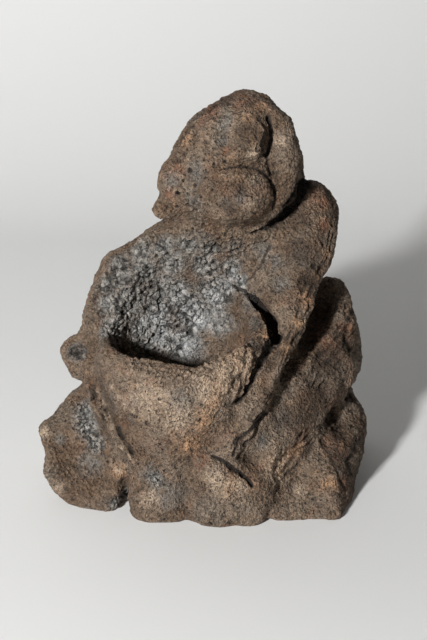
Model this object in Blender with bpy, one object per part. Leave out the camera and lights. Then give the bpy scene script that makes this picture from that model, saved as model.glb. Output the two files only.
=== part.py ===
"""Lava rock figure: a seated figure with a bowl in its lap, cut from one block of vesicular lava.

Metres, +Z up. The figure faces -Y. The origin is the centre of the bounding box on its flat underside.
Masses are laid on as rounded boulders and limbs and fused into one body. The bowl, the dish of the chest
and the gaps round the left arm are cut out of it. Flats and strokes of the chisel follow, then weathering.
Left and right are the figure's own.
"""

import math

import bmesh
import bpy
import numpy as np
from mathutils import Matrix, Vector, noise

# Driving sizes, in metres
HEIGHT = 0.320  # underside to crown
BOWL_MOUTH_WIDTH = 0.118  # hollow of the bowl, side to side at the rim
BOWL_MOUTH_DEPTH = 0.092  # hollow of the bowl, chest to front wall at the rim
BOWL_HOLLOW = 0.062  # rim down to the bowl's floor
BOWL_WALL = 0.012  # the free front wall at the rim

# The pose is laid out on a canon: every place and radius is in hundredths of the height.
CANON = HEIGHT / 100
GRAIN = 0.85  # voxel of the fused body, in hundredths
TRIANGLES = 10500

# The side of the block that the carver faced: straight in front and a little above level.
SIGHT_RISE = math.radians(24)
SIGHT = Vector((0.0, -math.cos(SIGHT_RISE), math.sin(SIGHT_RISE)))

# The middle of the bowl's mouth, in hundredths. Its sizes are the real ones above.
BOWL_CENTRE = Vector((-7.5, -9.5, 41.5))
RIM_CLIMB = 7.0  # how much higher the rim stands where it meets the chest on the figure's left
RIM_CLIMB_AT = math.radians(55)  # where that is, turned from +X


def clear_scene():
    for obj in list(bpy.data.objects):
        bpy.data.objects.remove(obj, do_unlink=True)


def boulder(*stations):
    """The convex block round its stations. A station is a place with a radius or with three radii."""
    block = bmesh.new()
    for place, radius in stations:
        radii = radius if isinstance(radius, tuple) else (radius, radius, radius)
        ball = Matrix.Translation(place) @ Matrix.Diagonal((*radii, 1))
        bmesh.ops.create_icosphere(block, subdivisions=3, radius=1, matrix=ball)
    hull = bmesh.ops.convex_hull(block, input=block.verts)
    inside = [part for part in hull["geom_interior"] if isinstance(part, bmesh.types.BMVert)]
    bmesh.ops.delete(block, geom=inside, context="VERTS")
    return block


def joined(shapes):
    whole = bmesh.new()
    for shape in shapes:
        mesh = bpy.data.meshes.new("mass")
        shape.to_mesh(mesh)
        shape.free()
        whole.from_mesh(mesh)
        bpy.data.meshes.remove(mesh)
    return whole


def limb(*stations):
    """A run of stone that bends at its stations."""
    return joined([boulder(*pair) for pair in zip(stations, stations[1:])])


def slot(*stations):
    """A cut that lies open towards the carver. A station is a place on the skin, a radius and a depth."""
    clear = 9.0
    flare = 1.3
    spans = []
    for pair in zip(stations, stations[1:]):
        inner = [(Vector(place) - SIGHT * depth, radius) for place, radius, depth in pair]
        outer = [(Vector(place) + SIGHT * clear, radius * flare) for place, radius, depth in pair]
        spans.append(boulder(*inner, *outer))
    return joined(spans)


def object_of(name, shape):
    mesh = bpy.data.meshes.new(name)
    shape.to_mesh(mesh)
    shape.free()
    obj = bpy.data.objects.new(name, mesh)
    bpy.context.scene.collection.objects.link(obj)
    return obj


def settle(obj):
    """Makes the modifiers' result the object's own mesh."""
    graph = bpy.context.evaluated_depsgraph_get()
    graph.update()
    done = bpy.data.meshes.new_from_object(obj.evaluated_get(graph))
    obj.modifiers.clear()
    old = obj.data
    obj.data = done
    bpy.data.meshes.remove(old)
    return obj


def fuse(obj, grain, softening):
    """Overlapping masses become one skin, and softening rounds off where they meet."""
    remesh = obj.modifiers.new("fuse", "REMESH")
    remesh.mode = "VOXEL"
    remesh.voxel_size = grain
    if softening:
        soften = obj.modifiers.new("soften", "SMOOTH")
        soften.factor = 0.5
        soften.iterations = softening
    return settle(obj)


def cut(obj, cutter):
    boolean = obj.modifiers.new("cut", "BOOLEAN")
    boolean.operation = "DIFFERENCE"
    boolean.object = cutter
    settle(obj)
    bpy.data.objects.remove(cutter, do_unlink=True)


def head():
    """An egg that tips back, with a big round chin, a blunt nose, and the hair as a rim on its left."""
    skull = boulder(
        ((7.8, 6.0, 91.8), 8.6),
        ((11.5, 6.5, 90.0), 8.0),
        ((0.9, 5.0, 86.8), 9.2),
        ((14.6, 10.5, 79.5), 8.0),
        ((-5.8, 3.5, 77.0), 7.8),
        ((5.2, -0.8, 77.0), 9.4),
        ((7.0, 15.0, 84.0), 9.5),
        ((0.0, 13.0, 76.0), 8.5),
    )
    chin = boulder(((5.4, -3.6, 77.6), (9.6, 8.4, 8.6)))
    neck = boulder(
        ((-3.6, 4.6, 65.4), 7.2),
        ((6.0, 4.2, 68.5), 8.0),
        ((12.0, 6.0, 66.0), 8.0),
        ((0.0, 9.6, 58.0), 8.0),
        ((-8.0, 9.0, 53.5), 6.6),
    )
    nose = limb(((8.0, -0.2, 95.2), 3.2), ((8.4, -3.0, 92.2), (4.2, 4.2, 3.6)))
    lip = limb(((5.4, -7.2, 88.3), 1.5), ((11.2, -7.0, 88.6), 1.6))
    ear_lobe = boulder(((-12.8, 1.0, 71.4), 2.9), ((-8.0, 2.0, 73.0), 4.0))
    nape = boulder(((20.0, 10.5, 79.2), 2.9), ((14.0, 10.5, 82.0), 6.0))
    return [skull, chin, neck, nose, lip, ear_lobe, nape, *hair()]


def hair():
    rim = [
        ((12.3, 1.5, 96.8), 2.7),
        ((17.0, 0.0, 92.2), 3.1),
        ((17.5, -2.5, 84.0), 3.2),
        ((17.2, -3.0, 77.5), 3.0),
        ((13.0, -3.5, 71.8), 2.4),
    ]
    behind = [
        ((9.0, 7.0, 92.5), 7.0),
        ((12.6, 7.0, 89.0), 7.0),
        ((13.0, 7.5, 84.0), 7.0),
        ((13.0, 7.5, 78.5), 7.0),
        ((10.0, 6.0, 74.0), 6.0),
    ]
    return [boulder(*rim[i : i + 2], *behind[i : i + 2]) for i in range(len(rim) - 1)]


def torso():
    trunk = boulder(
        ((-21.5, 8.5, 50.2), 8.2),
        ((-9.5, 8.0, 54.2), 7.0),
        ((5.0, 9.5, 66.5), 8.5),
        ((-2.0, 10.0, 60.5), 8.0),
        ((20.0, 10.0, 66.0), 8.0),
        ((16.0, 10.0, 42.0), 9.0),
        ((-20.0, 12.0, 32.0), 10.0),
        ((4.0, 19.0, 54.0), 9.0),
        ((2.0, 18.0, 30.0), 11.0),
    )
    lap = boulder(
        ((-20.0, 8.0, 20.0), 12.0),
        ((20.0, 10.0, 22.0), 11.0),
        ((-6.0, -12.0, 16.0), 12.0),
        ((-20.0, 4.0, 38.0), 10.0),
        ((12.0, 6.0, 40.0), 9.0),
        ((4.0, 17.0, 16.0), 11.5),
    )
    return [trunk, lap]


def left_arm():
    """A broad slab that comes forward off the shoulder to a thin wrist, then a hand under the bowl."""
    shoulder = boulder(((23.6, 9.0, 68.3), 8.2), ((24.5, 6.0, 65.5), 7.4))
    slab = boulder(
        ((24.3, 5.0, 65.5), 7.3),
        ((12.0, 4.5, 61.0), 5.0),
        ((24.4, -3.0, 56.5), 4.0),
        ((22.4, -8.2, 50.5), 3.3),
        ((17.6, -14.2, 42.0), 2.4),
        ((14.8, -7.0, 48.5), 2.8),
        ((10.0, -0.4, 54.5), 3.2),
    )
    hand = limb(
        ((17.2, -14.6, 42.0), 2.4),
        ((15.8, -17.4, 37.5), 2.3),
        ((13.8, -20.3, 32.4), 2.5),
        ((10.0, -23.4, 27.8), 2.9),
        ((4.0, -26.0, 20.5), 3.2),
    )
    under_arm = boulder(
        ((12.0, 4.0, 56.0), 6.0),
        ((18.0, 4.0, 56.0), 6.0),
        ((14.0, -3.4, 46.0), 3.2),
        ((15.0, -7.0, 40.0), 3.0),
        ((17.2, -10.6, 39.0), 2.4),
        ((19.0, -4.0, 44.0), 3.2),
        ((21.0, 3.0, 50.0), 5.0),
        ((19.0, 4.0, 38.0), 6.0),
        ((12.0, 0.0, 38.0), 6.0),
    )
    under_hand = boulder(
        ((15.0, -13.6, 36.5), 2.6),
        ((14.0, -8.0, 42.0), 3.0),
        ((12.0, -6.0, 30.0), 6.0),
        ((11.5, -19.0, 27.0), 3.6),
        ((8.0, -20.5, 19.0), 5.0),
        ((13.5, -15.5, 20.0), 5.0),
    )
    return [shoulder, slab, hand, under_arm, under_hand]


def right_arm():
    """An upper arm fused with the chest, an elbow that sticks out, and a forearm along the bowl's foot."""
    upper = limb(((-22.5, 7.5, 50.5), 7.8), ((-26.8, 3.5, 43.5), 6.4), ((-29.5, 1.0, 36.5), 5.4))
    elbow = boulder(((-36.0, 0.8, 32.8), 4.3), ((-34.6, 0.8, 29.6), 4.4), ((-31.0, 2.0, 31.0), 4.5))
    forearm = limb(
        ((-30.0, -4.0, 29.5), 4.4),
        ((-27.0, -12.2, 24.0), 3.8),
        ((-22.0, -20.0, 19.5), 3.4),
        ((-18.2, -24.6, 15.6), 2.8),
    )
    return [upper, elbow, forearm]


def left_leg():
    hip = boulder(
        ((30.2, 11.5, 43.2), 5.4),
        ((32.2, 5.0, 41.0), 4.6),
        ((31.4, 7.5, 33.0), 7.6),
        ((31.2, 3.0, 28.5), 7.6),
        ((24.0, 14.0, 36.0), 8.0),
    )
    knee = boulder(((24.6, -4.0, 31.4), 5.6), ((29.8, 0.5, 34.6), 5.4), ((31.0, -1.5, 28.8), 6.4))
    shin = boulder(
        ((23.0, -6.0, 31.2), 5.4),
        ((28.0, -3.6, 29.4), 6.0),
        ((26.0, -9.0, 25.6), 5.2),
        ((19.6, -14.0, 24.6), 4.2),
        ((22.4, -12.6, 20.6), 4.8),
        ((14.6, -20.8, 16.6), 4.6),
        ((18.0, -19.0, 11.5), 5.0),
        ((10.5, -25.6, 6.0), 5.0),
    )
    calf = limb(((34.0, 0.0, 26.5), 3.8), ((30.6, -4.4, 21.6), 3.2))
    foot = boulder(
        ((-1.4, -27.6, 12.4), 4.2),
        ((3.2, -27.4, 14.2), 4.0),
        ((8.6, -27.0, 8.8), 4.4),
        ((-1.0, -28.6, 2.0), 4.0),
        ((9.0, -28.4, 2.0), 4.2),
    )
    return [hip, knee, shin, calf, foot]


def right_leg():
    thigh = boulder(
        ((-30.6, -4.0, 21.0), 4.6),
        ((-40.8, -9.0, 15.0), 3.6),
        ((-38.8, -15.6, 4.0), 4.2),
        ((-34.0, -19.4, 1.6), 4.4),
        ((-26.4, -21.4, 1.6), 4.0),
        ((-23.6, -17.6, 14.0), 4.6),
        ((-34.0, 5.0, 8.0), 6.0),
        ((-30.0, 3.0, 18.0), 6.0),
    )
    knobs = [boulder(((-42.4, -9.4, 15.2), 3.2)), boulder(((-41.4, -14.4, 6.0), 3.0))]
    toes = boulder(
        ((-16.6, -25.6, 1.6), 4.6),
        ((-7.6, -25.6, 1.6), 5.0),
        ((-16.0, -24.0, 9.0), 4.6),
        ((-9.0, -23.6, 12.0), 4.6),
    )
    return [thigh, *knobs, toes]


def seat_rock():
    """What is left of the block under the figure, standing out on its left."""
    side = boulder(
        ((35.4, 1.0, 14.6), 5.0),
        ((34.4, -12.0, 9.6), 5.0),
        ((32.4, -19.0, 2.0), 4.8),
        ((29.4, -27.0, 1.6), 4.4),
        ((18.0, -25.0, 1.6), 5.0),
        ((24.0, -12.0, 12.0), 6.0),
        ((32.0, 13.0, 5.0), 7.0),
        ((30.0, 12.0, 16.0), 7.0),
    )
    bed = boulder(
        ((-30.0, 6.0, 2.0), 8.0),
        ((-18.0, -15.0, 2.0), 7.0),
        ((20.0, -15.0, 2.0), 7.0),
        ((26.0, 12.0, 3.0), 9.0),
        ((0.0, 19.0, 4.0), 10.0),
    )
    front = boulder(((-13.0, -20.0, 3.0), 6.0), ((14.0, -20.0, 3.0), 6.0), ((0.0, -18.0, 8.0), 8.0))
    return [side, bed, front]


def mouth_ring(grow, radius):
    """Balls round the mouth of the bowl, grown outwards from the hollow's edge. It climbs to the chest."""
    ring = []
    for turn in range(0, 360, 15):
        angle = math.radians(turn)
        x = (BOWL_MOUTH_WIDTH / 2 / CANON + grow) * math.cos(angle)
        y = (BOWL_MOUTH_DEPTH / 2 / CANON + grow) * math.sin(angle)
        climb = RIM_CLIMB * (0.5 + 0.5 * math.cos(angle - RIM_CLIMB_AT)) ** 2
        ring.append((BOWL_CENTRE + Vector((x, y, climb)), radius))
    return ring


def bowl():
    """The outer block of the bowl, one wall outside the hollow."""
    wall = BOWL_WALL / CANON
    rim = [(place - Vector((0, 0, wall / 2)), radius) for place, radius in mouth_ring(wall / 2, wall / 2)]
    belly = (
        BOWL_CENTRE + Vector((0.0, 0.5, -12.0)),
        (BOWL_MOUTH_WIDTH / 2 / CANON + wall + 0.6, BOWL_MOUTH_DEPTH / 2 / CANON + wall + 1.8, 10.0),
    )
    foot = ((-9.0, -17.0, 15.0), (10.0, 11.5, 10.0))
    return [boulder(*rim, belly, foot)]


def hollow():
    """The room in the bowl: a long well behind the front wall, and a slope up to the chest."""
    deep = BOWL_HOLLOW / CANON
    well = 5.5
    shallower = 2.0  # how much less deep the well is at its right end
    slope = 7.0
    lip = mouth_ring(-1.0, 1.0)
    above = [(place + Vector((0, -1.5, 8)), radius) for place, radius in lip]
    return boulder(
        *lip,
        *above,
        (BOWL_CENTRE + Vector((-6.0, -4.5, well + shallower - deep)), well),
        (BOWL_CENTRE + Vector((1.5, -5.0, well - deep)), well),
        (BOWL_CENTRE + Vector((3.0, 1.0, slope - 0.5 * deep)), slope),
    )


def chest_dish():
    """The chest is dished, so that it runs down into the bowl without a ledge."""
    return boulder(((-8.5, -8.0, 46.0), (17.5, 12.6, 21.5)))


def parting():
    """The gap between the bowl's rim and the left arm, which runs down to a crack beside the hand."""
    return slot(
        ((5.7, -2.0, 51.6), 0.6, 2.0),
        ((9.1, -5.0, 50.7), 0.9, 3.8),
        ((12.3, -7.0, 48.5), 1.2, 4.5),
        ((14.9, -10.0, 45.8), 1.4, 4.5),
        ((16.0, -13.0, 42.3), 1.1, 2.6),
        ((14.6, -16.0, 38.8), 0.9, 2.4),
        ((12.4, -19.0, 36.2), 0.8, 2.6),
        ((10.9, -22.0, 33.0), 0.7, 2.2),
        ((7.6, -25.0, 29.1), 0.5, 1.4),
    )


def armpit():
    """The deep recess between the left arm, the hip and the knee."""
    return slot(
        ((31.0, 0.0, 53.0), 1.6, 8.0),
        ((28.4, -2.0, 46.0), 2.6, 9.0),
        ((24.4, -7.0, 40.8), 1.9, 6.5),
        ((20.6, -14.0, 38.4), 1.3, 4.0),
        ((17.8, -18.0, 36.0), 1.1, 3.4),
        ((16.6, -20.0, 31.9), 1.0, 3.2),
        ((13.4, -23.0, 27.2), 0.8, 3.0),
        ((8.6, -26.0, 23.2), 0.5, 1.5),
    )


def underside():
    """Everything below the floor, so that the figure stands on a flat."""
    reach = 200
    below = bmesh.new()
    bmesh.ops.create_cube(below, size=reach, matrix=Matrix.Translation((0, 0, -reach / 2)))
    return below


def stroke(points, path, width, depth):
    """A groove that the point left along a path on the skin. A negative depth leaves a ridge."""
    sight = np.array(SIGHT)
    reach = 9.0
    nearest = np.full(len(points), np.inf)
    for start, end in zip(path, path[1:]):
        start = np.array(start)
        run = np.array(end) - start
        share = np.clip((points - start) @ run / (run @ run), 0, 1)
        off = points - start - share[:, None] * run
        along = off @ sight
        across = np.linalg.norm(off - along[:, None] * sight, axis=1)
        across[np.abs(along) > reach] = np.inf
        nearest = np.minimum(nearest, across)
    bite = np.clip(1 - (nearest / width) ** 2, 0, 1) ** 2
    points -= depth * bite[:, None] * sight


def hew(points, place, normal, radius):
    """A flat struck off by the chisel: most of what stands past it goes, and less towards its radius."""
    strength = 0.8
    normal = np.array(normal)
    normal /= np.linalg.norm(normal)
    off = points - np.array(place)
    past = np.clip(off @ normal, 0, None)
    fade = np.clip(1 - (np.linalg.norm(off, axis=1) / radius) ** 4, 0, 1)
    points -= (past * fade * strength)[:, None] * normal


def flats(points):
    hew(points, (34.5, -17.0, 8.0), (0.86, -0.5, 0.16), 15.0)
    hew(points, (27.0, -23.6, 8.0), (-0.1, -0.93, 0.36), 14.0)
    hew(points, (-33.0, -17.6, 10.0), (-0.25, -0.86, 0.44), 14.0)
    hew(points, (-6.0, -29.0, 9.0), (-0.2, -0.94, 0.3), 9.0)


def face_strokes(points):
    beside_nose = [(12.2, -3.4, 96.4), (13.4, -5.0, 94.6), (13.7, -7.0, 91.9), (13.2, -8.0, 89.3)]
    under_nose = [(4.6, -8.0, 90.6), (8.6, -9.0, 89.6), (12.4, -8.0, 90.2)]
    eye = [(3.2, -6.0, 95.0), (3.0, -7.0, 92.0)]
    mouth = [(2.4, -9.0, 86.9), (4.6, -10.0, 86.5), (7.6, -10.0, 86.6), (10.4, -10, 86.0), (13.4, -9.5, 84.4)]
    cheek = [(12.8, -9.0, 87.4), (14.2, -9.0, 84.2), (15.2, -9.0, 79.8), (14.8, -9, 76.5), (12.2, -9.0, 71.4)]
    stroke(points, beside_nose, 1.0, 2.2)
    stroke(points, under_nose, 1.1, 0.6)
    stroke(points, eye, 2.8, 1.4)
    stroke(points, mouth, 1.2, 1.5)
    stroke(points, cheek, 1.1, 1.6)


def body_strokes(points):
    outer_ridge = [(-33.1, -8.0, 27.3), (-28.6, -15.0, 23.8), (-23.7, -22.0, 20.5), (-20.0, -27.0, 16.9)]
    inner_ridge = [(-28.2, -12.0, 31.6), (-24.0, -19.0, 29.0), (-18.4, -25.5, 26.2)]
    chest_fold = [(11.0, -4.0, 62.0), (8.0, -3.0, 56.5), (6.0, -2.0, 52.8)]
    beside_foot = [(-0.4, -31.0, 18.6), (4.6, -31.0, 16.4), (8.6, -30.0, 13.0), (10.2, -30.0, 9.6)]
    before_toes = [(-5.6, -30.0, 18.4), (-7.6, -30.0, 13.0), (-7.4, -30.5, 7.0), (-7.0, -31.0, 0.0)]
    between_legs = [(-22.0, -24.0, 8.0), (-22.2, -24.5, 3.4), (-22.4, -25.0, 0.0)]
    under_calf = [(31.0, -5.0, 24.2), (33.6, -3.0, 23.4), (37.0, 0.0, 22.8)]
    on_calf = [(33.2, -4.0, 26.6), (35.4, -1.0, 31.0)]
    shin_fold = [(27.6, -7.0, 34.0), (28.6, -9.0, 29.0), (28.2, -11.0, 24.6)]
    stroke(points, outer_ridge, 1.6, -1.5)
    stroke(points, inner_ridge, 1.4, -1.0)
    stroke(points, chest_fold, 1.5, 0.8)
    stroke(points, beside_foot, 1.3, 1.8)
    stroke(points, before_toes, 2.0, 1.6)
    stroke(points, between_legs, 2.4, 2.4)
    stroke(points, under_calf, 1.4, 1.4)
    stroke(points, on_calf, 1.2, 0.9)
    stroke(points, shin_fold, 1.5, 0.9)


def back_strokes(points):
    spine = [(2.0, 29.0, 56.0), (1.0, 29.0, 46.0), (0.0, 29.0, 32.0)]
    waist = [(-24.0, 20.0, 24.0), (-8.0, 29.0, 22.0), (10.0, 29.0, 22.0), (24.0, 22.0, 24.0)]
    stroke(points, spine, 4.4, -1.6)
    stroke(points, waist, 2.6, -1.4)


def points_of(obj):
    return np.array([vertex.co for vertex in obj.data.vertices])


def move_points(obj, points):
    obj.data.vertices.foreach_set("co", points.ravel())
    obj.data.update()


def chisel(obj):
    points = points_of(obj)
    flats(points)
    face_strokes(points)
    body_strokes(points)
    back_strokes(points)
    move_points(obj, points)


def wear(obj, size, depth, seed):
    """Slow unevenness of worn stone, along the skin's normals."""
    points = points_of(obj)
    step = Vector((seed, 0, 0))
    for i, vertex in enumerate(obj.data.vertices):
        points[i] += np.array(vertex.normal) * noise.noise(vertex.co / size + step) * depth
    move_points(obj, points)


def triangles(obj):
    return sum(len(face.vertices) - 2 for face in obj.data.polygons)


def build():
    clear_scene()
    masses = [*torso(), *left_arm(), *right_arm(), *left_leg(), *right_leg(), *seat_rock(), *bowl(), *head()]
    figure = object_of("lava_rock_figure", joined(masses))
    fuse(figure, GRAIN, 3)
    for room in (hollow(), chest_dish(), parting(), armpit()):
        cut(figure, fuse(object_of("room", room), GRAIN / 2, 0))
    fuse(figure, GRAIN, 2)
    chisel(figure)
    fuse(figure, GRAIN, 1)
    wear(figure, 9.0, 1.0, 3)
    wear(figure, 3.6, 0.5, 11)

    fewer = figure.modifiers.new("fewer_faces", "DECIMATE")
    fewer.ratio = TRIANGLES / triangles(figure)
    settle(figure)
    cut(figure, object_of("underside", underside()))

    points = points_of(figure)
    low = points.min(0)
    high = points.max(0)
    to_origin = Matrix.Translation((-(low[0] + high[0]) / 2, -(low[1] + high[1]) / 2, -low[2]))
    to_height = Matrix.Scale(HEIGHT / (high[2] - low[2]), 4)
    figure.data.transform(to_height @ to_origin)


build()
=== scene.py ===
"""Looks of the lava rock figure: one carved and weathered block of vesicular lava.

Metres, +Z up, and the figure faces -Y. Left and right are the figure's own. A place that the photograph
gives is a picture point, in pixels of its 427 by 640 frame: it lies where that line of sight meets the
stone. A spot is a picture point with a radius in millimetres.
"""

import math

import bpy
import numpy as np
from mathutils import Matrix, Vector
from mathutils.bvhtree import BVHTree


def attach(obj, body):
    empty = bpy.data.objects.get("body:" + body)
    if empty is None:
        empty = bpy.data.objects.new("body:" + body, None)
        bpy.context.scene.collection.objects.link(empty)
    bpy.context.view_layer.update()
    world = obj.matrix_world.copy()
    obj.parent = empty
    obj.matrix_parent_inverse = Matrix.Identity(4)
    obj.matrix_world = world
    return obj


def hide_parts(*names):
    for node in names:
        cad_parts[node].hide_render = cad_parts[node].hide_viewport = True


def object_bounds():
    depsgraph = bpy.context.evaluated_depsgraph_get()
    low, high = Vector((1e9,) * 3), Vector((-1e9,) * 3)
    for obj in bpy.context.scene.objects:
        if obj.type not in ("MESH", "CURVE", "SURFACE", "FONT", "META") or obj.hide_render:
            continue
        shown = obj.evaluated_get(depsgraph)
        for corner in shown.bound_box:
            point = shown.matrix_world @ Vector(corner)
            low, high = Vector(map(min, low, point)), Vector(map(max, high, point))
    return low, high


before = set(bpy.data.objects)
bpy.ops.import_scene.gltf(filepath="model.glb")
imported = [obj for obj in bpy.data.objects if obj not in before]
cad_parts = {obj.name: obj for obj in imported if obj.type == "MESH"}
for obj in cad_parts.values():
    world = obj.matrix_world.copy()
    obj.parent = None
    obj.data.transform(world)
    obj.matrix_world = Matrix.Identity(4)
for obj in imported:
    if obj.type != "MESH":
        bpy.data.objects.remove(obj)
solid_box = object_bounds()
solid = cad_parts["lava_rock_figure"]
scene = bpy.context.scene


# The line of sight. The carving is looked at from straight in front and well above, from about a metre
# away, so that the upturned face and the inside of the bowl both show.

SIGHT_RISE = math.radians(24)
SIGHT_LENGTH = 1.039
AIM = Vector((0.0077, 0.0062, 0.1340))
LENS, SENSOR = 71.16, 36.0

toward_eye = Vector((0, -math.cos(SIGHT_RISE), math.sin(SIGHT_RISE)))
eye = AIM + toward_eye * SIGHT_LENGTH
camera = bpy.data.objects.new("camera", bpy.data.cameras.new("camera"))
camera.data.lens = LENS
camera.data.sensor_width = SENSOR
camera.location = eye
camera.rotation_euler = (-toward_eye).to_track_quat("-Z", "Y").to_euler()
scene.collection.objects.link(camera)
scene.camera = camera


# The block. The whole figure is one piece of lava, roughed out and hollowed with iron points and chisels.
# Its skin starts as the solid's own, remade in a fine even grain with the facets rubbed out.

GRAIN = 0.0010
RUBBING, RUB_SHARE = 14, 0.5

stone = bpy.data.objects.new("carved_stone", solid.data.copy())
scene.collection.objects.link(stone)


def settle():
    """Works the stone's modifiers into its mesh."""
    worked = stone.evaluated_get(bpy.context.evaluated_depsgraph_get())
    mesh = bpy.data.meshes.new_from_object(worked)
    stone.modifiers.clear()
    stone.data = mesh


regrain = stone.modifiers.new("grain", "REMESH")
regrain.mode = "VOXEL"
regrain.voxel_size = GRAIN
rub = stone.modifiers.new("rub", "SMOOTH")
rub.factor = RUB_SHARE
rub.iterations = RUBBING
settle()


# The nose, a flat-topped oval left standing on the upturned face. Its top is struck off level, turned a
# little to the figure's right, and its sides are left steep.

PICTURE_WIDTH, PICTURE_HEIGHT = 427, 640
NOSE_AT, NOSE_HALF = (250, 133), (17.5, 15.5)
NOSE_CORNERS = [(236, 132), (252, 122), (252, 144)]
NOSE_TURN = 0.10
NOSE_EDGE = 0.16  # how much of the oval's half width its slope takes
NOSE_CUT = 0.008  # the most that is struck off

sight_right = Vector((1, 0, 0))
sight_up = Vector((0, math.sin(SIGHT_RISE), math.cos(SIGHT_RISE)))
focal_pixels = LENS / SENSOR * PICTURE_HEIGHT
solid_skin = BVHTree.FromPolygons(
    [vertex.co for vertex in solid.data.vertices],
    [face.vertices for face in solid.data.polygons],
)


def seen(x, y):
    """The place on the stone at a picture point, or the stone nearest to it where the point misses."""
    across = sight_right * ((x - PICTURE_WIDTH / 2) / focal_pixels)
    upward = sight_up * ((PICTURE_HEIGHT / 2 - y) / focal_pixels)
    ray = across + upward - toward_eye
    place = solid_skin.ray_cast(eye, ray)[0]
    if place is None:
        place = solid_skin.find_nearest(eye + ray * SIGHT_LENGTH)[0]
    return place


def in_picture(places):
    """The picture points, x and y in pixels, at which the places are seen."""
    ray = places - np.array(eye)
    forward = -(ray @ np.array(toward_eye))
    x = PICTURE_WIDTH / 2 + focal_pixels * (ray @ np.array(sight_right)) / forward
    y = PICTURE_HEIGHT / 2 - focal_pixels * (ray @ np.array(sight_up)) / forward
    return np.stack([x, y], axis=1)


def skin():
    """The stone's points and its outward normals there."""
    points = np.empty(len(stone.data.vertices) * 3, np.float32)
    normals = np.empty_like(points)
    stone.data.vertices.foreach_get("co", points)
    stone.data.vertex_normals.foreach_get("vector", normals)
    return points.reshape(-1, 3).astype(float), normals.reshape(-1, 3).astype(float)


def lay_skin(points):
    """Moves the stone's points to these places."""
    stone.data.vertices.foreach_set("co", points.astype(np.float32).ravel())
    stone.data.update()


points, normals = skin()
oval = np.linalg.norm((in_picture(points) - NOSE_AT) / NOSE_HALF, axis=1)
nose_middle = sum((seen(*corner) for corner in NOSE_CORNERS), Vector()) / len(NOSE_CORNERS)
nose_facing = (toward_eye - sight_right * NOSE_TURN).normalized()
drop = (np.array(nose_middle) - points) @ np.array(nose_facing)
level = np.clip((1 - oval) / NOSE_EDGE, 0, 1) * (np.abs(drop) < NOSE_CUT)
points += (level * drop)[:, None] * np.array(nose_facing)
lay_skin(points)


# The froth. The lava froze full of gas, and its core is a froth of lumps with gaps between them, opened by
# the carving from the collar to the bowl, at the elbow, on the right lap and low in front. Round it the
# skin breaks into crumbs, the bowl's lip is chipped, and open bubbles are strewn over all of it.

FROTH_SPOTS = [
    (118, 262, 18), (140, 253, 17), (162, 247, 16), (186, 246, 16), (210, 250, 15), (145, 272, 22),
    (121, 278, 18), (172, 264, 20), (205, 266, 20), (232, 268, 15), (105, 284, 15), (215, 292, 26),
    (243, 284, 15), (165, 297, 34), (130, 302, 30), (108, 303, 16), (195, 312, 32), (116, 328, 20),
    (150, 330, 34), (104, 332, 13), (220, 322, 18), (184, 346, 26), (75, 352, 12), (84, 412, 15),
    (88, 428, 16), (96, 442, 12), (155, 479, 9), (124, 495, 10), (116, 505, 8),
]
CRUMB_SPOTS = [
    (195, 205, 14), (182, 188, 12), (200, 225, 12), (130, 262, 26), (158, 250, 24), (185, 245, 24),
    (212, 245, 20), (238, 246, 18), (262, 240, 12), (254, 262, 18), (106, 284, 20), (92, 300, 14),
    (96, 312, 16), (240, 300, 12), (84, 330, 14), (72, 350, 16), (90, 395, 14), (110, 420, 14),
    (120, 450, 12), (60, 470, 16), (122, 500, 14),
]
LIP_SPOTS = [
    (112, 345, 8), (122, 353, 8), (134, 361, 8), (148, 366, 8), (162, 370, 8), (178, 372, 8),
    (194, 371, 8), (208, 367, 8), (222, 360, 7), (236, 352, 7), (248, 343, 7), (256, 332, 7),
    (256, 318, 6),
]
# the lumps' size, how high their faces stand and how deep the gaps between them go
FROTH_LUMP, FROTH_FACE, FROTH_GAP = 0.0055, 0.0054, 0.0030
CRUMB_LUMP, CRUMB_FACE, CRUMB_GAP = 0.0043, 0.0018, 0.0009
CHIP_FACE, CHIP_GAP = 0.0030, 0.0016
LUMP_STRAY, LUMP_WAVE = 0.0014, 0.006  # how far their rows wander, and over what length
# the low swells left by the hammer and the weather: how long and how high each kind is
LONG_SWELL, LONG_HEIGHT = 0.030, 0.0007
SHORT_SWELL, SHORT_HEIGHT = 0.012, 0.0008
RAGGED_SWELL, RAGGED_HEIGHT = 0.0060, 0.0008
# how far apart the open bubbles can lie, and their smallest and largest radius
BUBBLE_SPACING, BUBBLE_SMALLEST, BUBBLE_LARGEST = 0.0080, 0.0010, 0.0021
UNDERSIDE = 0.003  # the relief fades out over this height, so that the underside stays flat


def dice(cells, seed):
    """A number from 0 to 1 for each cell of a grid, the same one every time."""
    x, y, z = (cells[:, axis].astype(np.int64) for axis in range(3))
    mixed = (x * 73856093) ^ (y * 19349663) ^ (z * 83492791) ^ (seed * 2654435761)
    mixed = ((mixed ^ (mixed >> 15)) * 2246822519) & 0xFFFFFFFF
    mixed = ((mixed ^ (mixed >> 13)) * 3266489917) & 0xFFFFFFFF
    return ((mixed ^ (mixed >> 16)) & 0xFFFFFFFF) / 2**32


def steps(reach):
    """Every step from a cell of the grid whose parts along x, y and z are in reach."""
    return [np.array((x, y, z)) for x in reach for y in reach for z in reach]


def swell(places, size, seed):
    """A slow random rise and fall, from -1 to 1, whose waves are about as long as size."""
    scaled = places / size
    corner = np.floor(scaled)
    share = scaled - corner
    share = share * share * (3 - 2 * share)
    total = np.zeros(len(places))
    for step in steps((0, 1)):
        weight = np.prod(np.where(step, share, 1 - share), axis=1)
        total += weight * dice(corner + step, seed)
    return total * 2 - 1


def rough(places, size, seed, layers=3):
    """Several swells on each other, each half as long and half as high as the one before."""
    total = np.zeros(len(places))
    for layer in range(layers):
        total += swell(places, size / 2**layer, seed + layer) / 2**layer
    return total / 1.5


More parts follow.
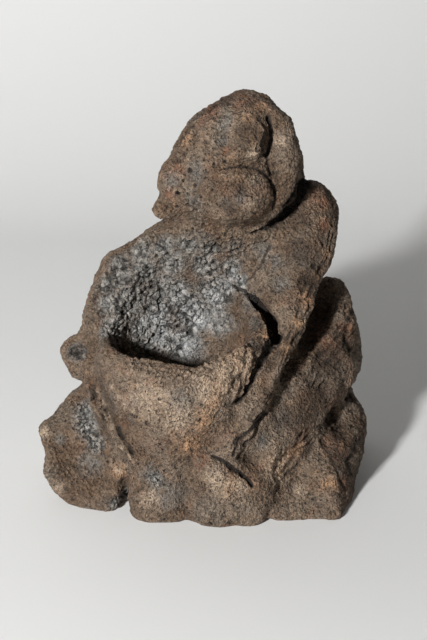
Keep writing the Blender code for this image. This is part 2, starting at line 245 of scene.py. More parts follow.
def stray(places, size, seed, rule=rough):
    """A way to go from each place, with its own rise and fall along x, y and z."""
    return np.stack([rule(places, size, seed + axis) for axis in range(3)], axis=1)


def bubbles(places, outward, share, seed):
    """How deep the open bubbles reach below each place. share is how many of the cells hold one."""
    home = np.floor(places / BUBBLE_SPACING)
    deepest = np.zeros(len(places))
    for step in steps((-1, 0, 1)):
        cell = home + step
        held = np.flatnonzero(dice(cell, seed) < share)
        cell = cell[held]
        centre = np.stack([dice(cell, seed + 1 + axis) for axis in range(3)], axis=1)
        off = places[held] - (cell + 0.15 + 0.7 * centre) * BUBBLE_SPACING
        radius = BUBBLE_SMALLEST + (BUBBLE_LARGEST - BUBBLE_SMALLEST) * dice(cell, seed + 4) ** 2
        rise = (off * outward[held]).sum(1)
        room = radius**2 - (off**2).sum(1)
        depth = rise + np.sqrt(np.clip(room + rise**2, 0, None))
        depth = np.where(room > 0, np.minimum(depth, radius * 1.1), 0)
        deepest[held] = np.maximum(deepest[held], depth)
    return deepest


def packed(places, spacing, seed):
    """Lumps packed side by side, each with a flat face leaning its own way.

    Gives how far each place is inside its lump's edge and how high the face stands there, both in spacings,
    and a number from 0 to 1 for each lump.
    """
    scaled = places / spacing
    home = np.floor(scaled)
    first = np.full(len(places), 9.0)
    second = np.full(len(places), 9.0)
    face = np.zeros(len(places))
    luck = np.zeros(len(places))
    for step in steps((-1, 0, 1)):
        cell = home + step
        centre = np.stack([dice(cell, seed + axis) for axis in range(3)], axis=1)
        lean = np.stack([dice(cell, seed + 3 + axis) - 0.5 for axis in range(3)], axis=1)
        off = scaled - cell - centre
        away = np.linalg.norm(off, axis=1)
        chance = dice(cell, seed + 6)
        face = np.where(away < first, (off * lean).sum(1) + 0.4 * chance - 0.2, face)
        luck = np.where(away < first, dice(cell, seed + 7), luck)
        second = np.minimum(second, np.maximum(first, away))
        first = np.minimum(first, away)
    return second - first, face, luck


def gap_beside(inside, steepness):
    """1 in the middle of a gap between two lumps, falling to 0 inside them."""
    return 1 - np.clip(inside * steepness, 0, 1)


def near(places, spots, edge, seed):
    """1 inside any of the spots, fading unevenly to 0 outside them. edge is how soft the fading is."""
    strongest = np.zeros(len(places))
    waver = 1 + 0.45 * rough(places, 0.010, seed)
    for x, y, radius in spots:
        away = np.linalg.norm(places - np.array(seen(x, y)), axis=1) / (radius / 1000)
        strongest = np.maximum(strongest, np.clip((1 - away * waver) / edge, 0, 1))
    return strongest * strongest * (3 - 2 * strongest)


points, normals = skin()
at_rest = points.copy()
frothy = near(points, FROTH_SPOTS, edge=0.8, seed=101)
crumbly = near(points, CRUMB_SPOTS, edge=0.8, seed=69)
bent = points + LUMP_STRAY * stray(points, LUMP_WAVE, seed=40)

inside, face, froth_tone = packed(bent, FROTH_LUMP, seed=51)
loosened = np.clip(0.75 + 0.9 * rough(points, 0.011, seed=63), 0.15, 1)
froth_gap = loosened * gap_beside(inside, 3.4)
foamed = frothy * (FROTH_FACE * face - FROTH_GAP * froth_gap)

# the skin's own relief is lower on the sides turned away from the eye, which are plainer
fronting = np.clip(0.7 + 0.7 * (normals @ np.array(toward_eye)), 0.4, 1)
inside, face, crumb_tone = packed(bent, CRUMB_LUMP, seed=61)
opened = np.clip(0.5 + 0.8 * rough(points, 0.013, seed=65), 0, 1)
crumb_gap = opened * gap_beside(inside, 3.5)
crumbled = fronting * (CRUMB_FACE * face - CRUMB_GAP * crumb_gap)
crumbled = crumbled * (1 - 0.7 * frothy) * (1 + 2.2 * crumbly)
chips = CHIP_FACE * face - CHIP_GAP * gap_beside(inside, 3.0)
chipped = near(points, LIP_SPOTS, edge=0.5, seed=67) * chips

wander = LONG_HEIGHT * rough(points, LONG_SWELL, seed=11)
wander += SHORT_HEIGHT * rough(points, SHORT_SWELL, seed=21)
ragged = fronting * (RAGGED_HEIGHT * rough(points, RAGGED_SWELL, seed=31, layers=2))
grounded = np.clip(points[:, 2] / UNDERSIDE, 0, 1)
points += (grounded * (wander + ragged + crumbled + chipped + foamed))[:, None] * normals

pit = fronting * bubbles(at_rest, normals, share=0.10 + 0.45 * frothy, seed=71)
points -= (grounded * pit)[:, None] * normals
lay_skin(points)


# Splits along the grain. Where the lava was drawn out as it set it breaks like bark: on the outer edge of
# the left arm and its hand, on the bowl's rim beside it, on the thigh and calf, along the right forearm
# and down the right of the head.

# each: two picture points along the splits, then the spots that they cover
SPLITS = [
    ((336, 235), (300, 335), [
        (330, 238, 11), (322, 262, 11), (312, 286, 11), (303, 310, 11), (293, 334, 11), (283, 358, 10),
    ]),
    ((266, 300), (250, 392), [
        (256, 322, 10), (258, 342, 11), (252, 362, 12), (242, 382, 12), (234, 400, 10),
    ]),
    ((288, 368), (244, 440), [(284, 376, 8), (270, 398, 9), (254, 420, 9), (240, 440, 8)]),
    ((350, 330), (308, 384), [(345, 335, 16), (330, 355, 16), (314, 376, 12), (352, 312, 12)]),
    ((355, 390), (300, 455), [(350, 395, 12), (330, 420, 14), (306, 445, 14), (290, 465, 12)]),
    ((85, 385), (132, 458), [(90, 392, 9), (102, 412, 9), (116, 436, 9), (128, 454, 8)]),
    ((205, 100), (170, 165), [(208, 106, 12), (188, 135, 12), (176, 160, 10)]),
]
# how far apart they lie, how many times as long they are, how deep, and how far they wander
SPLIT_WIDTH, SPLIT_STRETCH, SPLIT_DEPTH = 0.0048, 5.0, 0.0024
SPLIT_STRAY, SPLIT_WAVE = 0.0010, 0.010


def stretched(places, start, end, times):
    """The places drawn together along the line from start to end, for a pattern that runs along it."""
    along = np.array(end) - np.array(start)
    along /= np.linalg.norm(along)
    return places - (1 - 1 / times) * (places @ along)[:, None] * along


points, normals = skin()
split_depth = np.zeros(len(points))
for start, end, spots in SPLITS:
    drawn = stretched(at_rest, seen(*start), seen(*end), SPLIT_STRETCH)
    drawn += SPLIT_STRAY * stray(at_rest, SPLIT_WAVE, seed=45)
    furrow = np.clip(1 - np.abs(rough(drawn, SPLIT_WIDTH, seed=91, layers=2)) * 2.4, 0, 1)
    split_depth = np.maximum(split_depth, SPLIT_DEPTH * furrow * near(at_rest, spots, edge=0.4, seed=111))
points -= (grounded * split_depth)[:, None] * normals
lay_skin(points)


# Cracks and cuts. The point of the chisel left the gaps beside the arm, under the chin and over the foot,
# and the grooves of the face. Frost and drying opened a few fine cracks, and the largest of the bubbles
# stand open as holes.

# each: picture points along it, half width in pixels where it starts and where it ends, depth in mm
CUTS = [
    # between the bowl and the left arm
    ([(232, 285), (243, 291), (254, 300), (264, 311), (271, 323), (276, 338)], 0.8, 4.2, 6.0),
    ([(275, 334), (270, 347), (262, 360), (255, 373), (251, 384), (245, 395), (237, 405)], 3.2, 1.0, 3.5),
    # beside the nose and round its foot, over the mouth and down the right of it
    ([(268, 117), (271, 127), (271, 139), (269, 149), (266, 156)], 1.4, 1.4, 2.8),
    ([(237, 126), (235, 137), (241, 147), (252, 151), (262, 150)], 0.8, 1.2, 0.7),
    ([(266, 157), (268, 165), (271, 175)], 0.8, 1.0, 1.4),
    ([(220, 170), (229, 167), (242, 166), (254, 168), (264, 172), (271, 180)], 0.6, 1.0, 1.3),
    ([(271, 180), (275, 190), (276, 200), (273, 209)], 1.3, 0.7, 1.6),
    # under the chin, and across the chest below it
    ([(304, 185), (295, 201), (282, 217), (266, 228), (252, 233)], 4.8, 0.8, 4.6),
    ([(270, 245), (262, 262), (250, 277), (237, 287)], 1.0, 1.0, 1.2),
    # along the right forearm, where it meets the bowl
    ([(100, 386), (109, 403), (116, 419), (121, 435), (133, 452)], 2.2, 1.8, 0.6),
    ([(91, 396), (100, 412), (106, 428), (113, 444), (126, 461)], 2.0, 1.6, 0.5),
    # over the foot, in the shin and in the rock behind it
    ([(213, 456), (226, 463), (236, 471), (248, 479), (252, 486)], 1.3, 1.7, 2.4),
    ([(264, 413), (256, 424), (247, 433), (238, 444), (233, 455)], 1.6, 1.0, 1.6),
    ([(258, 425), (255, 436), (245, 447)], 1.1, 0.9, 1.0),
    ([(352, 455), (346, 462), (352, 475)], 1.5, 1.0, 1.2),
    ([(322, 440), (331, 458), (338, 472), (345, 490)], 1.6, 1.1, 1.0),
]
HOLE_SPOTS = [
    (225, 161, 1.9), (189, 170, 2.2), (177, 193, 1.8), (187, 193, 1.5), (195, 211, 1.8), (196, 220, 1.5),
    (177, 207, 1.8), (187, 205, 1.6), (195, 185, 1.8), (205, 178, 1.5), (183, 181, 1.4), (200, 197, 1.5),
    (214, 164, 1.4), (192, 229, 1.5), (206, 214, 1.4), (212, 190, 1.3), (204, 160, 1.3), (217, 205, 1.3),
    (117, 282, 2.2), (210, 274, 2.2), (188, 332, 2.0), (148, 268, 1.7), (176, 262, 1.6), (133, 300, 1.8),
    (131, 280, 1.7), (167, 254, 1.7), (141, 300, 1.6), (152, 287, 1.7), (200, 285, 1.6), (187, 320, 1.8),
    (176, 321, 1.6), (165, 327, 1.7), (194, 324, 1.5), (109, 283, 1.6), (181, 304, 1.5), (124, 312, 1.9),
    (243, 262, 1.5), (165, 346, 1.8), (154, 335, 1.8), (143, 341, 1.8), (131, 331, 1.8), (222, 279, 1.5),
    (158, 262, 1.5), (190, 255, 1.5), (228, 256, 1.4), (250, 270, 1.3), (200, 420, 1.2), (149, 373, 1.4),
    (176, 468, 1.4), (157, 478, 1.2), (86, 425, 1.5), (95, 446, 1.4), (108, 462, 1.5), (80, 410, 1.6),
    (86, 418, 1.7), (92, 424, 1.6), (84, 432, 1.6), (90, 438, 1.7), (98, 436, 1.5), (97, 447, 1.5),
    (78, 424, 1.5), (88, 404, 1.5), (150, 476, 1.5), (158, 480, 1.6), (164, 485, 1.4), (98, 376, 1.7),
    (112, 270, 1.7), (122, 268, 1.6), (104, 296, 1.7), (113, 296, 1.5), (136, 262, 1.5), (148, 256, 1.5),
    (127, 290, 1.6), (118, 302, 1.6),
]
CUT_SIDE = 1.25  # how steep a cut's sides are: its floor ends at 1 / CUT_SIDE of its half width
# how far a cut wanders and how far its edge is jagged, each with the length over which it does
CUT_STRAY, CUT_WAVE = 0.0005, 0.009
CUT_JAG, CUT_TOOTH = 0.0003, 0.003
HOLE_DEPTH = 1.3  # in radii
FARTHEST = 3.0  # in half widths: past it, it makes no difference how far off a cut is


def off_path(picture, path, start_width, end_width):
    """How far each picture point is from the path, in half widths of the cut there, up to FARTHEST."""
    path = np.array(path, float)
    margin = FARTHEST * max(start_width, end_width)
    nearest = np.full(len(picture), FARTHEST)
    close = np.all((picture > path.min(0) - margin) & (picture < path.max(0) + margin), axis=1)
    chosen = picture[close]
    found = np.full(len(chosen), FARTHEST)
    for number, (start, end) in enumerate(zip(path, path[1:])):
        run = end - start
        share = np.clip((chosen - start) @ run / (run @ run), 0, 1)
        width = start_width + (end_width - start_width) * (number + share) / (len(path) - 1)
        found = np.minimum(found, np.linalg.norm(chosen - start - share[:, None] * run, axis=1) / width)
    nearest[close] = found
    return nearest


def in_sight(places, clear=0.006):
    """Whether nothing else of the figure hides each place. Its own skin, up to clear, doesn't count."""
    starts = [Vector(place) + toward_eye * clear for place in places]
    return np.array([solid_skin.ray_cast(start, eye - start)[0] is None for start in starts], bool)


points, normals = skin()
crooked = at_rest + CUT_STRAY * stray(at_rest, CUT_WAVE, seed=121)
crooked += CUT_JAG * stray(at_rest, CUT_TOOTH, seed=131, rule=swell)
fitful = 1 + 0.3 * rough(at_rest, 0.010, seed=81)
picture = in_picture(crooked)
cut_depth = np.zeros(len(points))
for path, start_width, end_width, depth in CUTS:
    away = off_path(picture, path, start_width, end_width) * fitful
    reached = np.flatnonzero(away < 2 / CUT_SIDE)
    reached = reached[in_sight(at_rest[reached])]
    bite = np.clip(2 - CUT_SIDE * away[reached], 0, 1)
    cut_depth[reached] = np.maximum(cut_depth[reached], depth / 1000 * bite * (2 - bite))
for x, y, radius in HOLE_SPOTS:
    away = np.linalg.norm(crooked - np.array(seen(x, y)), axis=1) / (radius / 1000)
    hollowed = np.sqrt(np.clip(1 - away**2, 0, 1))
    cut_depth = np.maximum(cut_depth, HOLE_DEPTH * radius / 1000 * hollowed)
inward = -(normals + np.array(toward_eye))
inward /= np.linalg.norm(inward, axis=1)[:, None] + 0.001
points += cut_depth[:, None] * inward
lay_skin(points)


# Weather and handling, with painted light and shade. Edges are rubbed pale, what is hollow is painted dark
# for its dirt and its shade, iron in the lava has rusted in patches, and pale dust lies on the bowl and the
# foot. Pale and ochre patches on the right of the bowl's outside also paint light on a side that turns from
# the lamp, and dark patches paint the shadow under the chin and beside the left arm and leg. The froth is
# grey, and palest where it is freshest, down the chest and into the bowl.

FRESH_SPOTS = [
    (170, 338, 26), (198, 322, 24), (205, 345, 20), (185, 305, 20), (228, 284, 13), (240, 286, 9),
    (215, 300, 15), (160, 318, 16), (140, 325, 12), (192, 350, 24),
]
GREY_SPOTS = [
    *FROTH_SPOTS,
    (226, 124, 11), (222, 142, 8), (172, 180, 12), (196, 172, 16), (240, 196, 8), (194, 200, 14),
    (226, 205, 8), (200, 245, 20), (160, 252, 22), (235, 250, 16), (262, 250, 16), (300, 255, 12),
    (120, 262, 16), (272, 262, 14), (282, 285, 13), (110, 300, 16), (248, 302, 14), (254, 322, 12),
    (300, 345, 10), (180, 400, 16), (136, 402, 8), (132, 420, 6), (285, 420, 13), (60, 440, 8),
    (262, 442, 10), (90, 462, 20), (150, 475, 12), (165, 496, 22),
]
# ochre patches; those on the right of the bowl's outside are laid thick, partly as painted light on a side
# turned from the lamp
OCHRE_SPOTS = [
    (262, 104, 9), (248, 118, 7), (186, 138, 10), (328, 252, 9), (318, 276, 11), (308, 300, 11),
    (298, 324, 10), (266, 335, 10), (286, 350, 10), (240, 358, 18), (250, 372, 16), (240, 372, 20),
    (228, 378, 18), (232, 380, 24), (236, 380, 14), (222, 392, 18), (216, 400, 14), (205, 420, 16),
    (190, 445, 14), (300, 448, 10), (285, 455, 12), (276, 466, 18), (274, 466, 13), (118, 470, 12),
    (330, 484, 12), (228, 488, 16),
]
# pale patches: dust on the bowl, the foot and the forearm's ridges, and on the right of the bowl's outside
# also painted light on a side turned from the lamp
PALE_SPOTS = [
    (280, 141, 8), (252, 156, 9), (250, 205, 6), (245, 360, 18), (225, 370, 16), (232, 376, 34),
    (205, 385, 22), (112, 387, 4), (97, 393, 5), (145, 395, 14), (118, 397, 4), (150, 400, 26),
    (103, 404, 5), (124, 406, 4), (133, 412, 4), (108, 415, 5), (175, 420, 24), (112, 427, 5),
    (43, 432, 8), (115, 437, 5), (121, 448, 5), (129, 458, 5), (276, 462, 14), (276, 466, 20),
    (118, 470, 6), (215, 480, 16), (240, 484, 12), (220, 484, 18), (58, 488, 8), (300, 490, 8),
    (150, 500, 15),
]
RUST_SPOTS = [
    (240, 100, 16), (210, 110, 14), (225, 150, 8), (176, 170, 12), (168, 195, 10), (320, 196, 18),
    (325, 225, 12), (310, 300, 10), (350, 330, 12), (325, 345, 14), (338, 445, 18), (200, 460, 12),
    (230, 470, 8), (345, 480, 14),
]
# dark patches: soot on the head and the nose's own dark brown, and painted shade under the chin, behind the
# left arm, beside the thigh and shin and by the bowl's left corner
SOOT_AND_SHADE_SPOTS = [
    (225, 100, 14), (252, 132, 11), (246, 134, 14), (249, 134, 15), (297, 188, 8), (240, 190, 10),
    (291, 200, 16), (290, 207, 12), (282, 208, 12), (230, 210, 12), (284, 211, 16), (279, 219, 12),
    (298, 220, 16), (276, 221, 13), (300, 250, 24), (312, 280, 18), (300, 335, 12), (345, 345, 18),
    (76, 352, 10), (120, 352, 8), (328, 360, 24), (320, 390, 14), (312, 410, 20), (290, 420, 16),
    (335, 430, 22), (345, 460, 20),
]
# the rounds that bring out single grains or whole edges, and how far one that is fully rubbed stands out
GRAIN_ROUNDS, GRAIN_RISE = 5, 0.0005
EDGE_ROUNDS, EDGE_RISE = 40, 0.0014
BLACK_DEPTH = 0.0018  # a pit, cut or split this deep is painted fully dark, for its dirt and its shade


def bulge(rounds):
    """How far each point stands above the ground around it, in metres. More rounds take in more ground."""
    own, outward = skin()
    ends = np.empty(len(stone.data.edges) * 2, np.int32)
    stone.data.edges.foreach_get("vertices", ends)
    one, other = ends.reshape(-1, 2).T
    count = np.bincount(ends, minlength=len(own))[:, None]
    ground = own.copy()
    for _ in range(rounds):
        around = [
            np.bincount(one, ground[other, axis], len(own))
            + np.bincount(other, ground[one, axis], len(own))
            for axis in range(3)
        ]
        ground = 0.5 * ground + 0.5 * np.stack(around, axis=1) / count
    return ((own - ground) * outward).sum(1)


def keep(name, values):
    """Stores one number for each point of the stone, for its material to read."""
    layer = stone.data.attributes.new(name, "FLOAT", "POINT")
    layer.data.foreach_set("value", values.astype(np.float32))


finely = bulge(GRAIN_ROUNDS) / GRAIN_RISE
broadly = bulge(EDGE_ROUNDS) / EDGE_RISE
keep("froth", frothy)
keep("fresh", near(at_rest, FRESH_SPOTS, edge=0.9, seed=206))
# gaps, pits, cuts, splits and hollows, which the material paints dark for their dirt and their shade
keep("gap", np.maximum(np.sqrt(frothy) * froth_gap, crumbly * crumb_gap))
keep("tone", np.where(frothy > 0.25, froth_tone, crumb_tone))
keep("pit", np.clip((pit * grounded + 1.2 * cut_depth + 0.55 * split_depth) / BLACK_DEPTH, 0, 1))
keep("edge", np.clip(0.4 * finely + 0.5 * broadly, 0, 1))
keep("hollow", np.clip(-0.35 * finely - 0.7 * broadly, 0, 1))
keep("grey", near(at_rest, GREY_SPOTS, edge=1.0, seed=201))
keep("ochre", near(at_rest, OCHRE_SPOTS, edge=1.0, seed=202))
keep("pale", near(at_rest, PALE_SPOTS, edge=1.0, seed=203))
keep("rust", near(at_rest, RUST_SPOTS, edge=1.0, seed=204))
# soot, and the shadows under the chin and beside the left arm and leg, painted dark
keep("soot_and_shade", near(at_rest, SOOT_AND_SHADE_SPOTS, edge=0.8, seed=205))


# Fewer faces for the same form. The mesh is thinned most on the back and the sides, which were left plain.
# The stone stands on its flat underside, and nothing on it stands past the solid's box.

FACES = 196000
SPARING = 1e-8  # how much sooner the plain sides give up their faces

normals = skin()[1]
plain = stone.vertex_groups.new(name="plain")
plainness = np.round(np.clip(0.9 - 1.1 * (normals @ np.array(toward_eye)), 0, 1) * 10).astype(int)
for tenths in range(11):
    plain.add(np.flatnonzero(plainness == tenths).tolist(), tenths / 10, "REPLACE")
fewer = stone.modifiers.new("fewer", "DECIMATE")
fewer.vertex_group = "plain"
fewer.vertex_group_factor = SPARING
fewer.ratio = FACES / sum(len(face.vertices) - 2 for face in stone.data.polygons)
fewer.use_collapse_triangulate = True
settle()
low, high = (np.array(corner) for corner in solid_box)
lay_skin(np.clip(skin()[0], low, high))
stone.data.shade_smooth()


# The stone's finish: dull brown and grey lava, stained by rust, soot and dust, with painted shade in its
# shadows and hollows and painted light on the right of the bowl. Below what the mesh can hold it is
# sand-fine grit, pinholes and small broken pits, all of them painted darker inside than the skin, for dirt
# and for shade.

DEEP_BROWN = (0.108, 0.067, 0.040, 1)
BROWN_GREY = (0.196, 0.144, 0.102, 1)
ASH_GREY = (0.163, 0.153, 0.137, 1)
FROTH_BROWN = (0.290, 0.284, 0.266, 1)
FROTH_GREY = (0.530, 0.545, 0.545, 1)
OCHRE = (0.420, 0.240, 0.130, 1)
RUST = (0.190, 0.090, 0.050, 1)
# pale of dust and rubbed edges, also the painted light on the right of the bowl's outside
PALE_DUST_AND_LIGHT = (0.450, 0.340, 0.245, 1)
# dark brown of soot, also the painted shade under the chin and beside the left arm and leg
SOOT_AND_SHADE = (0.050, 0.030, 0.018, 1)
PORE_DARK = (0.012, 0.009, 0.007, 1)
STAIN_COVER = 0.8  # what the thickest ochre, grey, dust or soot hides of the stone under it
BUMP_DISTANCE = 0.0013


def feed(tree, socket, value):
    """Sets an input to a number or a colour, or links it to another node's output."""
    if isinstance(value, bpy.types.NodeSocket):
        tree.links.new(value, socket)
    else:
        socket.default_value = value


def add(tree, kind, inputs=None, **settings):
    """A new node with its settings and its inputs."""
    made = tree.nodes.new(kind)
    for name, value in settings.items():
        setattr(made, name, value)
    for name, value in (inputs or {}).items():
        feed(tree, made.inputs[name], value)
    return made


def math_of(tree, operation, one, other, clamp=False):
    """The result of a sum on two numbers or outputs."""
    return add(tree, "ShaderNodeMath", {0: one, 1: other}, operation=operation, use_clamp=clamp).outputs[0]


def vector_of(tree, operation, inputs):
    """The result of a sum on vectors."""
    return add(tree, "ShaderNodeVectorMath", inputs, operation=operation).outputs[0]


def weighed(tree, operation, *parts):
    """The parts, each times its own share, put together by one operation in their order."""
    total = None
    for value, share in parts:
        part = math_of(tree, "MULTIPLY", value, share)
        total = part if total is None else math_of(tree, operation, total, part)
    return total


def between(tree, value, start, end):
    """0 where value is at start, 1 where it is at end, with a smooth turn at both."""
    inputs = {"Value": value, "From Min": start, "From Max": end}
    return add(tree, "ShaderNodeMapRange", inputs, interpolation_type="SMOOTHSTEP").outputs[0]


def blend(tree, share, one, other, how="MIX"):
    """One colour turned into the other by share, or put together with it in another way."""
    made = add(tree, "ShaderNodeMix", data_type="RGBA", blend_type=how)
    for name, value in {"Factor": share, "A": one, "B": other}.items():
        feed(tree, next(socket for socket in made.inputs if socket.name == name and socket.enabled), value)
    return next(socket for socket in made.outputs if socket.enabled)


def group(name, inputs, output):
    """A new node group with these named inputs, each with its usual value, and one named output."""
    tree = bpy.data.node_groups.new(name, "ShaderNodeTree")
    for title, value in inputs.items():
        kind = "NodeSocketVector" if title == "Place" else "NodeSocketFloat"
        socket = tree.interface.new_socket(title, in_out="INPUT", socket_type=kind)
        if value is not None:
            socket.default_value = value
    tree.interface.new_socket(output, in_out="OUTPUT", socket_type="NodeSocketFloat")
    return tree, tree.nodes.new("NodeGroupInput").outputs, tree.nodes.new("NodeGroupOutput").inputs


# Pores: broken bubbles of one size. Share is how many of the places hold one.
usual = {"Place": None, "Spacing": 0.003, "Share": 0.5, "Reach": 0.42}
pores, given, gives = group("pores", usual, "Pit")
per_metre = math_of(pores, "DIVIDE", 1.0, given["Spacing"])
scaled = vector_of(pores, "SCALE", {0: given["Place"], "Scale": per_metre})
bend = add(pores, "ShaderNodeTexNoise", {"Vector": scaled, "Scale": 1.3, "Detail": 2.0}).outputs["Color"]
bend = vector_of(pores, "SUBTRACT", {0: bend, 1: (0.5, 0.5, 0.5)})
bend = vector_of(pores, "SCALE", {0: bend, "Scale": 0.9})
bubble_at = vector_of(pores, "ADD", {0: scaled, 1: bend})
bubble = add(pores, "ShaderNodeTexVoronoi", {"Vector": bubble_at, "Scale": 1.0})
bubble_luck = add(pores, "ShaderNodeSeparateColor", {0: bubble.outputs["Color"]}).outputs
brim = math_of(pores, "ADD", math_of(pores, "MULTIPLY", bubble_luck[0], given["Reach"]), 0.10)
broken = math_of(pores, "LESS_THAN", bubble_luck[1], given["Share"])
inner = math_of(pores, "MULTIPLY", brim, 0.5)
open_pore = between(pores, bubble.outputs["Distance"], brim, inner)
feed(pores, gives["Pit"], math_of(pores, "MULTIPLY", open_pore, broken))

# Blotches: cloudy patches. Cover is how much of the surface they take.
usual = {"Place": None, "Size": 0.02, "Cover": 0.5, "Softness": 0.1}
blotches, given, gives = group("blotches", usual, "Mask")
per_metre = math_of(blotches, "DIVIDE", 1.0, given["Size"])
cloud = {"Vector": given["Place"], "Scale": per_metre, "Detail": 5.0, "Roughness": 0.62}
cloud = add(blotches, "ShaderNodeTexNoise", cloud).outputs[0]
least = math_of(blotches, "SUBTRACT", 0.75, math_of(blotches, "MULTIPLY", given["Cover"], 0.5))
start = math_of(blotches, "SUBTRACT", least, given["Softness"])
end = math_of(blotches, "ADD", least, given["Softness"])
feed(blotches, gives["Mask"], between(blotches, cloud, start, end))

# Pits: bits of any shape that broke out of the skin. Cover is how much of the surface they take.
usual = {"Place": None, "Size": 0.003, "Cover": 0.3}
pits, given, gives = group("pits", usual, "Pit")
per_metre = math_of(pits, "DIVIDE", 1.0, given["Size"])
bits = {"Vector": given["Place"], "Scale": per_metre, "Detail": 3.0, "Roughness": 0.65, "Distortion": 0.4}
bits = add(pits, "ShaderNodeTexNoise", bits).outputs[0]
least = math_of(pits, "SUBTRACT", 0.66, math_of(pits, "MULTIPLY", given["Cover"], 0.35))
most = math_of(pits, "ADD", least, 0.09)
feed(pits, gives["Pit"], between(pits, bits, least, most))

lava = bpy.data.materials.new("lava_stone")
lava.use_nodes = True
tree = lava.node_tree
surface = tree.nodes["Principled BSDF"]
place = add(tree, "ShaderNodeTexCoord").outputs["Object"]


def kept(name):
    """The numbers that the stone's points keep under this name."""
    return add(tree, "ShaderNodeAttribute", attribute_name=name).outputs["Fac"]


def placed(kind, **inputs):
    """What one of the node groups gives on the stone with these inputs."""
    return add(tree, "ShaderNodeGroup", {"Place": place, **inputs}, node_tree=kind).outputs[0]


def stain(name, faintly, **clouds):
    """Where a stain lies: faintly in clouds all over, and in patches on the spots kept under its name."""
    all_over = math_of(tree, "MULTIPLY", placed(blotches, **clouds), faintly)
    return math_of(tree, "ADD", all_over, math_of(tree, "MULTIPLY", kept(name), patchy), clamp=True)


def covered(colour, share, tint):
    """The colour under a stain, which never hides it wholly."""
    return blend(tree, math_of(tree, "MULTIPLY", share, STAIN_COVER), colour, tint)


# the lava's browns and greys, its froth, then what has settled on it, and the painted light and shade
froth_mask = kept("froth")
colour = blend(tree, placed(blotches, Size=0.034, Cover=0.5, Softness=0.14), DEEP_BROWN, BROWN_GREY)
patchy = placed(blotches, Size=0.008, Cover=0.70, Softness=0.12)
colour = blend(tree, stain("rust", 0.35, Size=0.022, Cover=0.35, Softness=0.08), colour, RUST)
colour = covered(colour, stain("ochre", 0.30, Size=0.009, Cover=0.30, Softness=0.08), OCHRE)
colour = covered(colour, stain("grey", 0.35, Size=0.028, Cover=0.35, Softness=0.12), ASH_GREY)
foaming = math_of(
    tree,
    "MULTIPLY",
    math_of(tree, "POWER", froth_mask, 1.5),
    placed(blotches, Size=0.014, Cover=0.95, Softness=0.22),
)
freshness = placed(blotches, Size=0.010, Cover=0.85, Softness=0.25)
freshness = math_of(tree, "MULTIPLY", kept("fresh"), freshness)
froth_colour = blend(tree, freshness, FROTH_BROWN, FROTH_GREY)
colour = blend(tree, math_of(tree, "MULTIPLY", foaming, 0.92), colour, froth_colour)
# dust and rubbed edges, and painted light on the right of the bowl's outside
dust_wear_and_light = math_of(tree, "MULTIPLY", kept("pale"), placed(blotches, Size=0.007, Cover=0.85, Softness=0.2))
dust_wear_and_light = math_of(tree, "ADD", dust_wear_and_light, math_of(tree, "MULTIPLY", kept("edge"), 0.30), clamp=True)
colour = covered(colour, dust_wear_and_light, PALE_DUST_AND_LIGHT)
# soot, and painted shade in the shadows under the chin and beside the left arm and leg
soot_and_shade_cover = math_of(tree, "MULTIPLY", kept("soot_and_shade"), placed(blotches, Size=0.014, Cover=0.90, Softness=0.2))
colour = covered(colour, soot_and_shade_cover, SOOT_AND_SHADE)

# crust, grit and single grains, each lighter or darker than the next; the crust is also painted lighter on
# its highs and darker in its lows, as painted light and shade on its relief
crust = {"Vector": place, "Scale": 430.0, "Detail": 2.5, "Roughness": 0.7}
crust = add(tree, "ShaderNodeTexNoise", crust).outputs[0]
grit = {"Vector": place, "Scale": 1000.0, "Detail": 2.0, "Roughness": 0.8}
grit = add(tree, "ShaderNodeTexNoise", grit).outputs[0]
grains = add(tree, "ShaderNodeTexVoronoi", {"Vector": place, "Scale": 850.0}).outputs["Color"]
grain_luck = add(tree, "ShaderNodeSeparateColor", {0: grains}).outputs[0]
lump_tone = math_of(tree, "SUBTRACT", kept("tone"), 0.5)
lump_share = math_of(tree, "ADD", 0.15, math_of(tree, "MULTIPLY", froth_mask, 0.45))
shade = weighed(tree, "ADD", (grain_luck, 0.60), (grit, 1.20), (crust, 0.55), (lump_tone, lump_share))
shade = math_of(tree, "SUBTRACT", shade, 0.12)
shades = add(tree, "ShaderNodeCombineColor", {name: shade for name in ("Red", "Green", "Blue")})
colour = blend(tree, 1.0, colour, shades.outputs[0], "MULTIPLY")

# dirt and shadow in whatever is open or hollow, the darkest one counting
crust_lows = between(tree, crust, 0.45, 0.37)
pinholes = placed(pores, Spacing=0.0034, Share=0.30, Reach=0.30)
fine_pits = placed(pits, Size=0.0034, Cover=0.22)
open_gap = between(tree, kept("gap"), 0.20, 0.80)
hollow_share = math_of(tree, "ADD", 0.40, math_of(tree, "MULTIPLY", froth_mask, 0.15))
dark = weighed(
    tree,
    "MAXIMUM",
    (pinholes, 0.90),
    (fine_pits, 0.65),
    (crust_lows, 0.34),
    (open_gap, 0.85),
    (kept("pit"), 0.92),
    (kept("hollow"), hollow_share),
)
colour = blend(tree, dark, colour, PORE_DARK)
feed(tree, surface.inputs["Base Color"], colour)

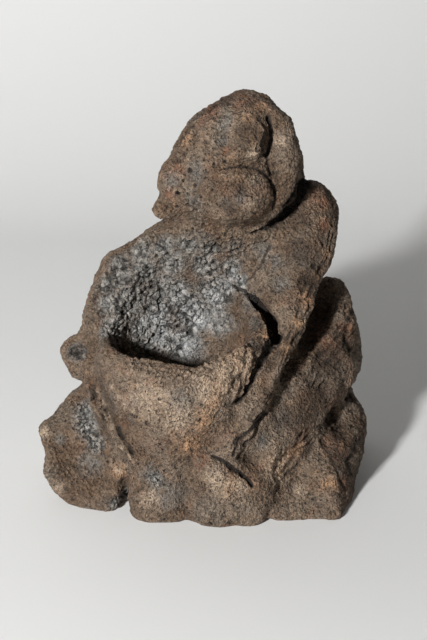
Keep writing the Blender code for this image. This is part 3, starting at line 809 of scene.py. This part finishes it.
# relief too fine for the mesh, lower under the froth and under the soot and painted shade
rounds = add(tree, "ShaderNodeTexVoronoi", {"Vector": place, "Scale": 470.0}).outputs["Distance"]
froth_soot_and_shade = math_of(tree, "MAXIMUM", froth_mask, kept("soot_and_shade"))
crust_height = math_of(tree, "SUBTRACT", 3.4, math_of(tree, "MULTIPLY", froth_soot_and_shade, 1.6))
height = weighed(
    tree,
    "ADD",
    (crust, crust_height),
    (rounds, -1.3),
    (grit, 1.0),
    (open_gap, -0.6),
    (pinholes, -1.0),
    (fine_pits, -1.0),
)
bump = add(tree, "ShaderNodeBump", {"Height": height, "Strength": 1.0, "Distance": BUMP_DISTANCE})
feed(tree, surface.inputs["Normal"], bump.outputs[0])
shine = math_of(tree, "SUBTRACT", 0.90, math_of(tree, "MULTIPLY", froth_mask, 0.55))
feed(tree, surface.inputs["Roughness"], shine)
surface.inputs["Specular IOR Level"].default_value = 0.4

stone.data.materials.clear()
stone.data.materials.append(lava)

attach(stone, "root")
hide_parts("lava_rock_figure")


# The room: a pale floor that runs up into a plain backdrop, one soft lamp from the left and a dim even sky.
# The backdrop shows its front only, so that the figure can be looked at from behind as well.

SWEEP_FRONT, SWEEP_START, SWEEP_RADIUS = -3.0, 0.55, 0.45
SWEEP_HEIGHT, SWEEP_HALF_WIDTH, SWEEP_STEPS = 2.2, 3.0, 16
SWEEP_PAINT, SWEEP_ROUGHNESS = (0.80, 0.80, 0.79, 1), 0.8
LAMP_SIZE, LAMP_POWER, LAMP_LENGTH = 0.22, 82, 2.4
LAMP_LEFT, LAMP_RAISED = 0.53, 0.03  # to each metre toward the eye
SKY_COLOUR, SKY_STRENGTH = (1.0, 0.96, 0.92, 1), 0.05

sweep_line = [(SWEEP_FRONT, 0.0), (SWEEP_START, 0.0)]
for number in range(1, SWEEP_STEPS + 1):
    turn = math.radians(90 * number / SWEEP_STEPS)
    sweep_line.append((SWEEP_START + SWEEP_RADIUS * math.sin(turn), SWEEP_RADIUS * (1 - math.cos(turn))))
sweep_line.append((SWEEP_START + SWEEP_RADIUS, SWEEP_HEIGHT))
sweep_mesh = bpy.data.meshes.new("sweep")
sweep_mesh.from_pydata(
    [(x, y, z) for y, z in sweep_line for x in (-SWEEP_HALF_WIDTH, SWEEP_HALF_WIDTH)],
    [],
    [(2 * i, 2 * i + 1, 2 * i + 3, 2 * i + 2) for i in range(len(sweep_line) - 1)],
)
sweep_mesh.shade_smooth()
sweep = bpy.data.objects.new("sweep", sweep_mesh)
scene.collection.objects.link(sweep)
sweep_paint = bpy.data.materials.new("sweep_paint")
sweep_paint.use_nodes = True
sweep_surface = sweep_paint.node_tree.nodes["Principled BSDF"]
sweep_surface.inputs["Base Color"].default_value = SWEEP_PAINT
sweep_surface.inputs["Roughness"].default_value = SWEEP_ROUGHNESS
from_behind = add(sweep_paint.node_tree, "ShaderNodeNewGeometry").outputs["Backfacing"]
shown = math_of(sweep_paint.node_tree, "SUBTRACT", 1.0, from_behind)
feed(sweep_paint.node_tree, sweep_surface.inputs["Alpha"], shown)
sweep_mesh.materials.append(sweep_paint)

lamp = bpy.data.objects.new("lamp", bpy.data.lights.new("lamp", "AREA"))
lamp.data.size = LAMP_SIZE
lamp.data.energy = LAMP_POWER
lamp_way = (toward_eye - sight_right * LAMP_LEFT + sight_up * LAMP_RAISED).normalized()
lamp.location = AIM + lamp_way * LAMP_LENGTH
lamp.rotation_euler = (AIM - lamp.location).to_track_quat("-Z", "Y").to_euler()
scene.collection.objects.link(lamp)

world = bpy.data.worlds.new("world")
world.use_nodes = True
world.node_tree.nodes["Background"].inputs["Color"].default_value = SKY_COLOUR
world.node_tree.nodes["Background"].inputs["Strength"].default_value = SKY_STRENGTH
scene.world = world
scene.view_settings.view_transform = "Standard"
